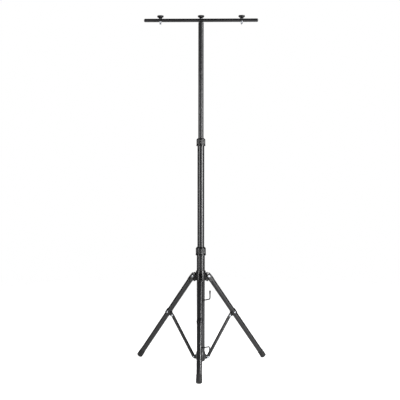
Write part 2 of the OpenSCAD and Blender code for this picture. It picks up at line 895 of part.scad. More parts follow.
on_leg(RIGHT) bracket();  // bracket_right
on_leg(LEFT) bracket();  // bracket_left
on_leg(FRONT) bracket_rivet();  // bracket_rivet_front
on_leg(RIGHT) bracket_rivet();  // bracket_rivet_right
on_leg(LEFT) bracket_rivet();  // bracket_rivet_left
on_leg(FRONT) brace_pin();  // brace_pin_front
on_leg(RIGHT) brace_pin();  // brace_pin_right
on_leg(LEFT) brace_pin();  // brace_pin_left
on_brace(FRONT) brace();  // brace_front
on_brace(RIGHT) brace();  // brace_right
on_brace(LEFT) brace();  // brace_left
upper_cable_hook();
lower_cable_hook();
cable_hook_tips();
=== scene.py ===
"""Looks of a telescopic tripod stand with a cross bar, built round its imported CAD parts.

Every length is in metres in the frame's own axes: the origin is on the floor under the mast,
+Z is up the mast, -Y is along the front leg and X is along the cross bar.
"""

import json
import logging
import math
from collections.abc import Callable
from dataclasses import dataclass, field
from enum import Enum

import bmesh
import bpy
from mathutils import Matrix, Vector

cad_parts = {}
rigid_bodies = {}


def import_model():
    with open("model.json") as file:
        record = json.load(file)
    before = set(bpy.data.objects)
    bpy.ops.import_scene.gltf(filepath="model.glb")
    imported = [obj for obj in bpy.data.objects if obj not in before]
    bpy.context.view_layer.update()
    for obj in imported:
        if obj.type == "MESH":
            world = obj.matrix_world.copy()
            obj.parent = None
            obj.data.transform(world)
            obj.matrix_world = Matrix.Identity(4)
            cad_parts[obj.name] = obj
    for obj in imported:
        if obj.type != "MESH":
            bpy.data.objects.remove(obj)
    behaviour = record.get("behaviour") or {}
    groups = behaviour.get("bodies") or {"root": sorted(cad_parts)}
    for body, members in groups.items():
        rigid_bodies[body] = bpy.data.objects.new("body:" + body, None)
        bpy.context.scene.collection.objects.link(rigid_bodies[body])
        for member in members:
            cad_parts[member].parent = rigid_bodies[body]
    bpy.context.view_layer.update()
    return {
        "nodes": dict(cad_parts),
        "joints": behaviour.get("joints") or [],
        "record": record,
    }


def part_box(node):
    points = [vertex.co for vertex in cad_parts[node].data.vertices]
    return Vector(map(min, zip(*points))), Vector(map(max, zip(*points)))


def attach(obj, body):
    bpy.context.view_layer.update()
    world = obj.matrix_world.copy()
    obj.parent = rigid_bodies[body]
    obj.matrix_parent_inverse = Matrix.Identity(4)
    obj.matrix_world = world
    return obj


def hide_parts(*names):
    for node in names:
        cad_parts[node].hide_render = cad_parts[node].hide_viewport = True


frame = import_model()

MM = 0.001
MARK_DULLING = 0.12
LOG = logging.getLogger("tripod_stand")

Profile = list[tuple[float, float]]
RadiusAt = Callable[[int, float, float], float]


class Azimuth(Enum):
    """The three directions in which legs and braces point, in degrees from +X."""

    FRONT = -90.0
    RIGHT = 30.0
    LEFT = 150.0

    @property
    def word(self) -> str:
        """The direction's word in the names of nodes and bodies."""
        return self.name.lower()


# ------------------------------------------------------------------ finishes


def linear(colour: str) -> tuple[float, float, float, float]:
    """Turns an sRGB hex colour into the linear colour that a shader takes.

    Args:
        colour: six hex digits with a leading #.

    Returns:
        Linear red, green, blue and an alpha of 1.
    """
    parts = [int(colour[i:i + 2], 16) / 255 for i in (1, 3, 5)]
    red, green, blue = (c / 12.92 if c <= 0.04045 else ((c + 0.055) / 1.055) ** 2.4 for c in parts)
    return red, green, blue, 1.0


def per_metre(size_mm: float) -> float:
    """The texture scale whose pattern repeats about every size_mm."""
    return 1.0 / (size_mm * MM)


def add_node(
    tree: bpy.types.NodeTree,
    kind: str,
    settings: dict[str, object] | None = None,
    links: dict[str, bpy.types.NodeSocket] | None = None,
) -> bpy.types.Node:
    """Adds a node to a tree.

    Args:
        tree: the node tree of a material or of the world.
        kind: the node's type name.
        settings: values by property name, or by input name where the node has no such property.
        links: output sockets of other nodes by the name of the input that takes them.

    Returns:
        The new node.
    """
    node = tree.nodes.new(kind)
    for name, value in (settings or {}).items():
        if hasattr(node, name):
            setattr(node, name, value)
        else:
            node.inputs[name].default_value = value
    for name, socket in (links or {}).items():
        tree.links.new(socket, node.inputs[name])
    return node


def add_ramp(
    tree: bpy.types.NodeTree,
    factor: bpy.types.NodeSocket,
    low: tuple[float, str],
    high: tuple[float, str],
) -> bpy.types.NodeSocket:
    """Colours a factor with a ramp between two stops.

    Args:
        tree: the material's node tree.
        factor: the value that runs along the ramp.
        low: place and hex colour of the first stop.
        high: place and hex colour of the last stop.

    Returns:
        The ramp's colour socket.
    """
    ramp = add_node(tree, "ShaderNodeValToRGB", links={"Fac": factor})
    for element, (place, colour) in zip(ramp.color_ramp.elements, (low, high)):
        element.position = place
        element.color = linear(colour)
    return ramp.outputs["Color"]


@dataclass(frozen=True)
class Finish:
    """A surface finish: a base tone with a darker or lighter cloud in it, gloss and fine relief.

    Attributes:
        name: what the finish is, and the material's name.
        base: hex colour of most of the surface.
        cloud: hex colour that the base drifts to in soft clouds.
        cloud_mm: size of those clouds.
        roughness: the two ends between which the gloss drifts.
        grain_mm: size of the relief's bumps.
        relief_mm: height of the relief's bumps.
        mark: hex colour of scuffs, rubs and dust.
        mark_mm: length of a scuff.
        mark_share: how much of the surface is marked, from 0 to 1.
        ior: index of refraction; a metal keeps the default.
        metallic: 1 for bare metal.
        coat: weight of a thin clear layer on top.
    """

    name: str
    base: str
    cloud: str
    cloud_mm: float
    roughness: tuple[float, float]
    grain_mm: float
    relief_mm: float
    mark: str
    mark_mm: float
    mark_share: float
    ior: float = 1.5
    metallic: float = 0.0
    coat: float = 0.0

    def pattern(self, tree: bpy.types.NodeTree, place: bpy.types.NodeSocket) -> bpy.types.NodeSocket:
        """The height of the fine relief. Most finishes have a soft pebbled one."""
        grain = add_node(
            tree, "ShaderNodeTexNoise",
            {"Scale": per_metre(self.grain_mm), "Detail": 3.0, "Roughness": 0.55},
            {"Vector": place},
        )
        return grain.outputs["Fac"]

    def marks(self, tree: bpy.types.NodeTree, place: bpy.types.NodeSocket) -> bpy.types.NodeSocket:
        """Where scuffs and dust are, from 0 to 1: broken streaks inside a few worn patches."""
        streak = add_node(
            tree, "ShaderNodeTexNoise",
            {"Scale": per_metre(self.mark_mm), "Detail": 6.0, "Roughness": 0.7, "Distortion": 1.2},
            {"Vector": place},
        )
        edge = 0.86 - 0.3 * self.mark_share
        worn = add_node(
            tree, "ShaderNodeMapRange",
            {"From Min": edge, "From Max": edge + 0.12},
            {"Value": streak.outputs["Fac"]},
        )
        return worn.outputs["Result"]

    def material(self) -> bpy.types.Material:
        """Builds the finish as a node material.

        Returns:
            The material, named for the finish.
        """
        made = bpy.data.materials.new(self.name)
        made.use_nodes = True
        tree = made.node_tree
        tree.nodes.clear()
        place = add_node(tree, "ShaderNodeTexCoord").outputs["Object"]
        cloud = add_node(
            tree, "ShaderNodeTexNoise",
            {"Scale": per_metre(self.cloud_mm), "Detail": 2.0}, {"Vector": place},
        ).outputs["Fac"]
        tone = add_ramp(tree, cloud, (0.35, self.base), (0.7, self.cloud))
        marks = self.marks(tree, place)
        colour = add_node(
            tree, "ShaderNodeMix", {"data_type": "RGBA"}, {"Factor": marks},
        )
        tree.links.new(tone, colour.inputs[6])
        colour.inputs[7].default_value = linear(self.mark)
        sheen = add_node(
            tree, "ShaderNodeMapRange",
            {"From Min": 0.3, "From Max": 0.7, "To Min": self.roughness[0],
             "To Max": self.roughness[1]},
            {"Value": cloud},
        )
        gloss = add_node(tree, "ShaderNodeMath", {"operation": "MULTIPLY_ADD"})
        tree.links.new(marks, gloss.inputs[0])
        gloss.inputs[1].default_value = MARK_DULLING
        tree.links.new(sheen.outputs["Result"], gloss.inputs[2])
        bump = add_node(
            tree, "ShaderNodeBump", {"Strength": 0.6, "Distance": self.relief_mm * MM},
            {"Height": self.pattern(tree, place)},
        )
        shader = add_node(
            tree, "ShaderNodeBsdfPrincipled",
            {"IOR": self.ior, "Metallic": self.metallic, "Coat Weight": self.coat,
             "Coat Roughness": 0.12},
            {"Base Color": colour.outputs[2], "Roughness": gloss.outputs[0],
             "Normal": bump.outputs["Normal"]},
        )
        add_node(tree, "ShaderNodeOutputMaterial", links={"Surface": shader.outputs["BSDF"]})
        return made


@dataclass(frozen=True)
class MouldedFinish(Finish):
    """A moulded plastic: the fine cell grain that a spark-eroded mould leaves on it."""

    def pattern(self, tree: bpy.types.NodeTree, place: bpy.types.NodeSocket) -> bpy.types.NodeSocket:
        """Small cells with soft edges, as an eroded mould face prints them."""
        cells = add_node(
            tree, "ShaderNodeTexVoronoi",
            {"feature": "SMOOTH_F1", "Scale": per_metre(self.grain_mm), "Smoothness": 0.6},
            {"Vector": place},
        )
        return cells.outputs["Distance"]


@dataclass(frozen=True)
class PlatedFinish(Finish):
    """Plated or turned metal: fine turning lines round the part's axis."""

    def pattern(self, tree: bpy.types.NodeTree, place: bpy.types.NodeSocket) -> bpy.types.NodeSocket:
        """Close wavering lines, as a turning tool or a forming die leaves them."""
        lines = add_node(
            tree, "ShaderNodeTexWave",
            {"wave_type": "RINGS", "rings_direction": "SPHERICAL",
             "Scale": per_metre(self.grain_mm) / 6.28, "Distortion": 3.0, "Detail": 3.0},
            {"Vector": place},
        )
        return lines.outputs["Fac"]


# Semi-gloss black polyester powder coat: near black with a faint orange peel, so a softbox
# shows as a slightly broken stripe down each tube. Rubs show as thin paler streaks.
TUBE_COAT = Finish(
    "semi_gloss_powder_coat_on_steel_tube", "#131315", "#18181a", 70.0, (0.30, 0.38),
    1.6, 0.005, "#2c2c2f", 14.0, 0.2, ior=1.52, coat=0.15,
)
# The same powder on pressed strip: a thinner, harder layer, so its flat faces stay dark and
# only its bends catch a line of light.
STRIP_COAT = Finish(
    "powder_coat_on_pressed_strip", "#0e0e10", "#131315", 30.0, (0.26, 0.34),
    1.4, 0.006, "#2e2e32", 9.0, 0.25, ior=1.48,
)
# Powder on bent wire: thin and smooth, since it flows on a small radius. It reads as black.
WIRE_COAT = Finish(
    "powder_coat_on_steel_wire", "#060607", "#0a0a0b", 24.0, (0.30, 0.36),
    1.2, 0.004, "#222225", 8.0, 0.2, ior=1.42,
)
# Glass-filled black nylon from a polished mould: blacker and glossier than the tubes, so the
# hubs, forks and collars show as deep black with narrow bright edges and ribs.
NYLON = MouldedFinish(
    "injection_moulded_black_nylon", "#08080a", "#0c0c0e", 22.0, (0.20, 0.30),
    0.8, 0.006, "#242427", 6.0, 0.3, ior=1.53,
)
# Black ABS of the knobs: a tone greyer than the nylon, dulled where fingers hold it.
KNOB_ABS = MouldedFinish(
    "injection_moulded_black_abs", "#0b0b0d", "#101012", 14.0, (0.26, 0.36),
    0.7, 0.010, "#323236", 5.0, 0.3, ior=1.54,
)
# Bright zinc plate on rivets and screws: pale and slightly blue, with dull spots.
ZINC = PlatedFinish(
    "bright_zinc_plated_steel", "#c9ccd1", "#a9adb4", 3.0, (0.20, 0.34),
    0.35, 0.01, "#7d8086", 2.5, 0.35, metallic=1.0,
)
# Turned brass of the clamp screw's insert: warm yellow with tool lines.
BRASS = PlatedFinish(
    "turned_brass", "#c9a355", "#a98238", 4.0, (0.24, 0.36),
    0.4, 0.01, "#8a6a30", 2.5, 0.3, metallic=1.0,
)
# Unfilled nylon of the bushes, collets and the clamp pad: milky ivory with a waxy sheen.
NATURAL_NYLON = MouldedFinish(
    "natural_nylon", "#dcd8c8", "#cfc9b4", 18.0, (0.38, 0.46),
    0.9, 0.03, "#a8a28e", 6.0, 0.25, ior=1.53,
)
# Black moulded rubber of the feet: matt, greyed by floor dust in its low places.
FOOT_RUBBER = MouldedFinish(
    "moulded_black_rubber", "#121213", "#1a1a1b", 12.0, (0.62, 0.78),
    0.9, 0.03, "#454340", 7.0, 0.45, ior=1.52,
)
# Dipped vinyl on the hook tips: soft, smooth and slightly lumpy from the dip.
DIPPED_VINYL = Finish(
    "dipped_black_vinyl", "#151516", "#1b1b1d", 10.0, (0.40, 0.50),
    3.5, 0.12, "#39393b", 6.0, 0.2, ior=1.54,
)

FINISH_OF_SLOT = {
    "steel_powder_coat": TUBE_COAT,
    "pressed_steel": STRIP_COAT,
    "hook_steel": WIRE_COAT,
    "nylon_black": NYLON,
    "knob_plastic": KNOB_ABS,
    "zinc_steel": ZINC,
    "brass": BRASS,
    "natural_nylon": NATURAL_NYLON,
    "foot_rubber": FOOT_RUBBER,
    "tip_vinyl": DIPPED_VINYL,
}


class Wardrobe:
    """Builds each finish once and dresses pieces and CAD nodes by material slot."""

    def __init__(self) -> None:
        """Builds a material for every slot of the record."""
        self.materials = {slot: finish.material() for slot, finish in FINISH_OF_SLOT.items()}
        self.slot_of_node = {
            part["node"]: part["material_slot"] for part in frame["record"]["subparts"]
        }

    def dress(self, piece: bpy.types.Object, slot: str) -> None:
        """Gives a piece the finish of a slot, over whatever it wore before."""
        piece.data.materials.clear()
        piece.data.materials.append(self.materials[slot])

    def dress_nodes(self) -> None:
        """Gives every CAD node its finish."""
        for name, node in frame["nodes"].items():
            self.dress(node, self.slot_of_node[name])


# ------------------------------------------------------------------ mesh helpers


def finished(name: str, mesh: bpy.types.Mesh, sharp_deg: float = 32.0) -> bpy.types.Object:
    """Makes a smooth-shaded object of a mesh and links it to the scene.

    Args:
        name: the piece's name.
        mesh: its mesh, in the row frame.
        sharp_deg: edges that turn more than this stay sharp.

    Returns:
        The linked object.
    """
    mesh.name = name
    mesh.shade_smooth()
    mesh.set_sharp_from_angle(angle=math.radians(sharp_deg))
    piece = bpy.data.objects.new(name, mesh)
    bpy.context.scene.collection.objects.link(piece)
    return piece


def lathe(profile: Profile, segments: int, radius_at: RadiusAt | None = None) -> bmesh.types.BMesh:
    """Turns a closed profile round the Z axis.

    Args:
        profile: radius and height of each point, in order. A radius of 0 becomes one point.
        segments: steps round the axis.
        radius_at: gives the radius from a point's index, its angle and its own radius.

    Returns:
        The new mesh, open only where the profile is.
    """
    made = bmesh.new()
    rings = []
    for index, (radius, height) in enumerate(profile):
        if radius == 0:
            rings.append([made.verts.new((0, 0, height))])
            continue
        ring = []
        for step in range(segments):
            angle = 2 * math.pi * step / segments
            r = radius_at(index, angle, radius) if radius_at else radius
            ring.append(made.verts.new((r * math.cos(angle), r * math.sin(angle), height)))
        rings.append(ring)
    for low, high in zip(rings, rings[1:] + rings[:1]):
        join_rings(made, low, high)
    bmesh.ops.recalc_face_normals(made, faces=made.faces)
    return made


def join_rings(made: bmesh.types.BMesh, low: list, high: list) -> None:
    """Fills the band between two rings of vertices, either of which may be one point."""
    if len(low) == 1 and len(high) == 1:
        return
    count = max(len(low), len(high))
    for step in range(count):
        after = (step + 1) % count
        corners = [low[step % len(low)], low[after % len(low)],
                   high[after % len(high)], high[step % len(high)]]
        unique = list(dict.fromkeys(corners))
        made.faces.new(unique)


def to_mesh(made: bmesh.types.BMesh, place: Matrix | None = None) -> bpy.types.Mesh:
    """Moves a finished bmesh into the row frame and writes it to a mesh."""
    if place is not None:
        made.transform(place)
    mesh = bpy.data.meshes.new("piece")
    made.to_mesh(mesh)
    made.free()
    return mesh


def axis_frame(origin: Vector, up: Vector, out: Vector) -> Matrix:
    """The placement whose Z is up, whose X is out made square to it, and whose origin is given."""
    z = up.normalized()
    x = (out - z * out.dot(z)).normalized()
    y = z.cross(x)
    placed = Matrix((x, y, z)).transposed().to_4x4()
    placed.translation = origin
    return placed


def middle(node: str) -> Vector:
    """The centre of a CAD node's box."""
    low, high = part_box(node)
    return (low + high) / 2


def span(node: str, origin: Vector, axis: Vector) -> tuple[float, float]:
    """How far a CAD node reaches along an axis, below and above an origin."""
    reach = [(vertex.co - origin).dot(axis) for vertex in frame["nodes"][node].data.vertices]
    return min(reach), max(reach)


def smoothstep(value: float) -> float:
    """Runs from 0 to 1 with a soft start and end as value does."""
    held = min(max(value, 0.0), 1.0)
    return held * held * (3 - 2 * held)


def scallops(count: int, depth: float, width: float, radius: float) -> Callable[[float], float]:
    """A ring of round-bottomed grooves that run along the axis.

    Args:
        count: grooves round the part.
        depth: depth of a groove.
        width: width of a groove along the surface.
        radius: radius of the surface.

    Returns:
        A function from angle to how deep the surface lies under its radius.
    """
    def dip(angle: float) -> float:
        """The groove's depth at an angle."""
        turn = (angle * count / (2 * math.pi)) % 1.0 - 0.5
        across = abs(turn) * 2 * math.pi * radius / count
        share = max(0.0, 1 - (2 * across / width) ** 2)
        return depth * smoothstep(share)
    return dip


def softened(node: str, width_mm: float, steps: int = 2) -> bpy.types.Object:
    """A copy of a CAD node with its sharp edges rounded, as a mould or a press leaves them.

    Args:
        node: the CAD node.
        width_mm: width of the rounding.
        steps: faces across the rounding.

    Returns:
        The new piece, in place.
    """
    source = frame["nodes"][node].data
    made = bmesh.new()
    made.from_mesh(source)
    bmesh.ops.remove_doubles(made, verts=made.verts, dist=0.002 * MM)
    bmesh.ops.dissolve_limit(
        made, angle_limit=math.radians(1.0), verts=made.verts, edges=made.edges,
    )
    sharp = [
        edge for edge in made.edges
        if len(edge.link_faces) == 2 and edge.calc_face_angle() > math.radians(30)
    ]
    bmesh.ops.bevel(
        made, geom=sharp, offset=width_mm * MM, offset_type="OFFSET", segments=steps,
        profile=0.5, affect="EDGES", clamp_overlap=True,
    )
    bmesh.ops.triangulate(made, faces=[face for face in made.faces if len(face.verts) > 4])
    return finished(node + "_rounded", to_mesh(made))


# ------------------------------------------------------------------ sub-assemblies


@dataclass
class SubAssembly:
    """What every sub-assembly shares: its wardrobe and how it hands over its pieces."""

    wardrobe: Wardrobe

    def keep(self, piece: bpy.types.Object, body: str, slot: str, *nodes: str) -> None:
        """Dresses a piece, lets it ride on its body and stand for its CAD nodes.

        Args:
            piece: the new piece.
            body: the CAD body that it moves with.
            slot: the material slot that it takes its finish from.
            *nodes: the CAD nodes that it stands for.
        """
        self.wardrobe.dress(piece, slot)
        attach(piece, body)
        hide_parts(*nodes)
        LOG.info("%s rides on %s in %s", piece.name, body, slot)

    def round_off(self, node: str, body: str, width_mm: float) -> None:
        """Replaces a CAD node with its edge-rounded copy in the same finish."""
        self.keep(softened(node, width_mm), body, self.wardrobe.slot_of_node[node], node)


@dataclass
class LockCollar(SubAssembly):
    """A twist-lock collar with grip grooves, over the ferrule on a mast tube's end.

    Attributes:
        node: the collar's CAD node, and its body.
        ferrule: CAD node of the ferrule that the collar screws on.
        collet: CAD node of the tapered collet that the collar squeezes.
        tube: CAD node of the tube on which the ferrule sits.
        inner_tube: CAD node of the tube that the collar grips.
    """

    node: str = "lower_collar"
    ferrule: str = "lower_ferrule"
    collet: str = "lower_collet"
    tube: str = "outer_tube"
    inner_tube: str = "middle_tube"
    grooves: int = 12
    groove_depth: float = 1.1 * MM
    groove_width: float = 7.0 * MM
    rim_stand: float = 0.8 * MM
    rim_height: float = 2.4 * MM
    chamfer: float = 5.5 * MM
    thread_wall: float = 2.7 * MM
    bore_gap: float = 0.4 * MM
    groove_rows: int = 12
    run_out_rows: float = 2.2
    soft_edge: float = 0.35 * MM

    def build(self) -> None:
        """Turns the collar: foot rim, grooved grip, rounded shoulder and stepped bore."""
        low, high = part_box(self.node)
        rim = (high.x - low.x) / 2
        grip = rim - self.rim_stand
        bore = self.radius_of(self.inner_tube) + self.bore_gap
        thread = self.radius_of(self.tube) + self.thread_wall
        ferrule_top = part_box(self.ferrule)[1].z
        soft = self.soft_edge
        base = low.z
        grip_low = base + self.rim_height + 0.8 * MM
        grip_high = high.z - self.chamfer - 1.0 * MM
        outside = [
            (thread, base), (rim - soft, base), (rim, base + soft),
            (rim, base + self.rim_height * 0.6), (rim - soft, base + self.rim_height * 0.8),
            (grip, base + self.rim_height),
        ]
        rows = self.groove_rows
        first_row = len(outside)
        outside += [
            (grip, grip_low + (grip_high - grip_low) * row / (rows - 1)) for row in range(rows)
        ]
        outside += self.shoulder(grip, high.z)
        collet_low, collet_top, collet_end = self.collet_taper()
        inside = [
            (bore + soft, high.z), (bore, high.z - soft), (bore, collet_end + self.bore_gap),
            (collet_top + self.bore_gap, collet_end + self.bore_gap),
            (collet_low + self.bore_gap, ferrule_top + self.bore_gap),
            (thread, ferrule_top + self.bore_gap),
        ]
        dip = scallops(self.grooves, self.groove_depth, self.groove_width, grip)
        ends = self.run_out_rows

        def radius_at(index: int, angle: float, radius: float) -> float:
            """Sinks the grip's rows by the grooves, which run out at both ends."""
            row = index - first_row
            if not 0 <= row < rows:
                return radius
            run_out = smoothstep(row / ends) * smoothstep((rows - 1 - row) / ends)
            return radius - dip(angle) * run_out

        made = lathe(outside + inside, self.grooves * 20, radius_at)
        self.keep(
            finished(self.node + "_grip", to_mesh(made)), self.node,
            self.wardrobe.slot_of_node[self.node], self.node,
        )

    def shoulder(self, radius: float, top: float) -> Profile:
        """The steep cone between the collar's grip and its top face, with softened ends."""
        lip = 0.8 * MM
        reach = self.chamfer * 0.9
        return [
            (radius, top - self.chamfer - 0.2 * MM), (radius - 0.1 * MM, top - self.chamfer),
            (radius - 0.4 * MM, top - self.chamfer + 0.3 * MM),
            (radius - reach + 0.1 * MM, top - lip - 0.1 * MM), (radius - reach, top - lip + 0.1 * MM),
            (radius - reach, top - 0.2 * MM), (radius - reach - 0.2 * MM, top),
        ]

    def collet_taper(self) -> tuple[float, float, float]:
        """Reads the collet's taper from its CAD node.

        Returns:
            Its radius at the lower end and at the upper end, and the height of its upper end.
        """
        low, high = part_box(self.collet)
        halfway = (low.z + high.z) / 2
        upper = [
            vertex.co.xy.length for vertex in frame["nodes"][self.collet].data.vertices
            if vertex.co.z > halfway
        ]
        return (high.x - low.x) / 2, max(upper), high.z

    @staticmethod
    def radius_of(tube: str) -> float:
        """The outside radius of an upright tube."""
        low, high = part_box(tube)
        return (high.x - low.x) / 2


@dataclass
class Mast(SubAssembly):
    """The three tubes with their ferrules, bushes and plug."""

    def build(self) -> None:
        """Rounds the moulded parts; the tubes keep their drawn shape."""
        self.round_off("lower_ferrule", "column", 0.5)
        self.round_off("upper_ferrule", "middle_mast", 0.5)
        self.round_off("mast_top_plug", "upper_mast", 0.4)


@dataclass
class Knob(SubAssembly):
    """A scalloped knob on its stem.

    Attributes:
        node: the knob's CAD node.
        body: the body that it turns with.
        up: the direction in which the stem points at the head.
    """

    node: str = "knob_centre"
    body: str = "knob_centre_screw"
    up: Vector = field(default_factory=lambda: Vector((0, 0, 1)))
    lobes: int = 8
    scallop_depth: float = 1.0 * MM
    scallop_width: float = 6.4 * MM
    stem_radius: float = 7.0 * MM
    stem_share: float = 0.15
    cone_share: float = 0.44
    edge: float = 1.6 * MM
    edge_steps: int = 4
    side_starts_at: int = 4
    crown: float = 0.4 * MM
    dish: float = 0.9 * MM

    def build(self) -> None:
        """Turns the knob: stem, cone, scalloped rim, and a dished top with a low button."""
        low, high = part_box(self.node)
        centre = (low + high) / 2
        below, above = span(self.node, centre, self.up)
        height = above - below
        radius = (high.x - low.x) / 2
        outline = self.outline(radius, height)
        first = self.side_starts_at
        last = first + self.rim_rows()
        dip = scallops(self.lobes, self.scallop_depth, self.scallop_width, radius)

        def radius_at(index: int, angle: float, own: float) -> float:
            """Sinks the head's side by the scallops."""
            if not first <= index < last:
                return own
            return own - dip(angle) * own / radius

        made = lathe(outline, self.lobes * 24, radius_at)
        place = axis_frame(centre + self.up * below, self.up, Vector((1, 0, 0)))
        self.keep(
            finished(self.node + "_scalloped", to_mesh(made, place)), self.body,
            self.wardrobe.slot_of_node[self.node], self.node,
        )

    def rim_rows(self) -> int:
        """How many rows of the outline belong to the scalloped side, with its two edges."""
        return 2 * self.edge_steps + 3

    def outline(self, radius: float, height: float) -> Profile:
        """The knob's profile from its stem's foot over the rim to the middle of the top."""
        cone = height * self.cone_share
        outline = [(0.0, 0.0), (self.stem_radius - 0.3 * MM, 0.0), (self.stem_radius, 0.3 * MM),
                   (self.stem_radius, height * self.stem_share)]
        outline.append((radius - self.edge, cone))
        steps = self.edge_steps
        top = height - self.crown
        for step in range(1, steps + 1):
            turn = math.pi / 2 * step / steps
            outline.append((radius - self.edge * (1 - math.sin(turn)),
                            cone + self.edge * (1 - math.cos(turn))))
        outline.append((radius, top - self.edge))
        for step in range(1, steps + 2):
            turn = math.pi / 2 * step / (steps + 1)
            outline.append((radius - self.edge * (1 - math.cos(turn)),
                            top - self.edge + self.edge * math.sin(turn)))
        outline += [
            (radius * 0.74, top), (radius * 0.70, top - 0.2 * MM),
            (radius * 0.67, top - self.dish), (radius * 0.40, top - self.dish),
            (radius * 0.37, top - 0.4 * MM), (radius * 0.33, top),
            (radius * 0.2, top + 0.3 * MM), (0.0, top + self.crown),
        ]
        return outline


@dataclass
class ThreadedStud(SubAssembly):
    """A knob's screw whose threaded end shows under the cross bar.

    Attributes:
        node: the screw's CAD node.
        body: the body that it turns with.
    """

    node: str = "stud_left"
    body: str = "knob_left_screw"
    pitch: float = 1.25 * MM
    thread_depth: float = 0.68 * MM
    tip: float = 0.9 * MM
    plain_share: float = 0.45
    rows_per_turn: int = 8
    segments: int = 40

    def build(self) -> None:
        """Turns the screw with a helical thread on its lower stretch."""
        low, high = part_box(self.node)
        radius = (high.x - low.x) / 2
        length = high.z - low.z
        threaded = length * (1 - self.plain_share)
        rows = int(threaded / self.pitch * self.rows_per_turn)
        outline = [(0.0, 0.0), (radius - self.tip, 0.0)]
        outline += [(radius, 0.02 * MM + threaded * row / rows) for row in range(1, rows + 1)]
        outline += [(radius, length - 0.3 * MM), (radius - 0.3 * MM, length), (0.0, length)]

        def radius_at(index: int, angle: float, own: float) -> float:
            """Cuts the thread, which fades in from the chamfered tip and out at the plain shank."""
            row = index - 1
            if not 0 < row <= rows:
                return own
            height = threaded * row / rows
            turn = (height / self.pitch - angle / (2 * math.pi)) % 1.0
            groove = 1 - abs(2 * turn - 1)
            cut = self.thread_depth * smoothstep(groove * 1.15)
            cut *= smoothstep((rows - row) / self.rows_per_turn)
            return min(own, radius - self.tip + height) - cut * min(1.0, height / self.pitch)

        made = lathe(outline, self.segments, radius_at)
        centre = (low + high) / 2
        place = Matrix.Translation((centre.x, centre.y, low.z))
        self.keep(
            finished(self.node + "_threaded", to_mesh(made, place), 50.0), self.body,
            self.wardrobe.slot_of_node[self.node], self.node,
        )


@dataclass
class CrossBar(SubAssembly):
    """The cross bar's end caps, its screw bushes and the three knobs with their screws."""

    cap_rim: float = 1.0 * MM
    dome_steps: int = 8

    def build(self) -> None:
        """Builds the caps, bushes, knobs and the two screws that show."""
        self.build_caps()
        self.round_off("t_bar_screw_bushes", "cross_bar", 0.25)
        for side in ("left", "centre", "right"):
            Knob(self.wardrobe, node="knob_" + side, body=f"knob_{side}_screw").build()
        for side in ("left", "right"):
            ThreadedStud(self.wardrobe, node="stud_" + side, body=f"knob_{side}_screw").build()

    def build_caps(self) -> None:
        """Turns the two domed end caps as one piece: a rim, a groove behind it and the dome."""
        bar_low, bar_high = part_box("t_bar")
        cap_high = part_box("t_bar_end_caps")[1]
        radius = (bar_high.z - bar_low.z) / 2
        dome = cap_high.x - bar_high.x
        centre_z = (bar_low.z + bar_high.z) / 2
        outline = [(0.0, 0.0), (radius - 0.2 * MM, 0.0), (radius, 0.2 * MM),
                   (radius, self.cap_rim)]
        for step in range(1, self.dome_steps + 1):
            turn = math.pi / 2 * step / self.dome_steps
            outline.append((radius * math.cos(turn) if step < self.dome_steps else 0.0,
                            self.cap_rim + (dome - self.cap_rim) * math.sin(turn)))
        both = bmesh.new()
        for side in (-1, 1):
            cap = lathe(outline, 48)
            place = axis_frame(
                Vector((side * bar_high.x, 0, centre_z)), Vector((side, 0, 0)), Vector((0, 0, 1)),
            )
            part = to_mesh(cap, place)
            both.from_mesh(part)
            bpy.data.meshes.remove(part)
        self.keep(
            finished("t_bar_domed_caps", to_mesh(both), 40.0), "cross_bar",
            self.wardrobe.slot_of_node["t_bar_end_caps"], "t_bar_end_caps",
        )


@dataclass
class Rivet(SubAssembly):
    """A rivet, or two blind rivets in line: domed heads on a plain shank.

    Attributes:
        node: the CAD node, which may hold rivets of more than one leg.
        body: the body that carries it.
        places: centre and axis of each rivet of the node.
        half_length: half the length over both heads.
        head_radius: radius of the heads.
        shank_radius: radius of the shank.
        hollow: half the length of the gap between two blind rivets, or 0 for a through rivet.
    """

    node: str = "leg_pin_front"
    body: str = "leg_front"
    places: list[tuple[Vector, Vector]] = field(default_factory=list)
    half_length: float = 10.0 * MM
    head_radius: float = 4.3 * MM
    shank_radius: float = 3.0 * MM
    hollow: float = 0.0
    head_height: float = 1.7 * MM
    flange: float = 0.35 * MM
    dimple_radius: float = 1.3 * MM
    dimple_depth: float = 0.45 * MM
    segments: int = 48

    def build(self) -> None:
        """Builds every rivet of the node as one piece, each with a domed and a dimpled head."""
        together = bmesh.new()
        for centre, axis in self.places:
            square = Vector((0, 0, 1)) if abs(axis.z) < 0.9 else Vector((1, 0, 0))
            for side in (-1, 1):
                made = lathe(self.half(dimpled=side > 0), self.segments)
                part = to_mesh(made, axis_frame(centre, axis * side, square))
                together.from_mesh(part)
                bpy.data.meshes.remove(part)
        self.keep(
            finished(self.node + "_domed", to_mesh(together), 35.0), self.body,
            self.wardrobe.slot_of_node[self.node], self.node,
        )

    def half(self, dimpled: bool) -> Profile:
        """The profile of half a rivet, from its middle to the top of its head.

        Args:
            dimpled: whether the head has the hollow of a pulled or orbital-formed rivet.

        Returns:
            The closed profile.
        """
        seat = self.half_length - self.head_height
        outline = [(0.0, self.hollow), (self.shank_radius, self.hollow),
                   (self.shank_radius, seat), (self.head_radius - 0.15 * MM, seat),
                   (self.head_radius, seat + 0.15 * MM), (self.head_radius, seat + self.flange)]
        steps = 7
        inner = self.dimple_radius if dimpled else 0.0
        for step in range(1, steps + 1):
            share = step / steps
            radius = self.head_radius + (inner - self.head_radius) * share
            rise = math.sqrt(max(0.0, 1 - (radius / self.head_radius) ** 2))
            outline.append((radius, seat + self.flange + (self.head_height - self.flange) * rise))
        if dimpled:
            top = outline[-1][1]
            outline += [(inner * 0.75, top - self.dimple_depth), (0.0, top - self.dimple_depth)]
        return outline


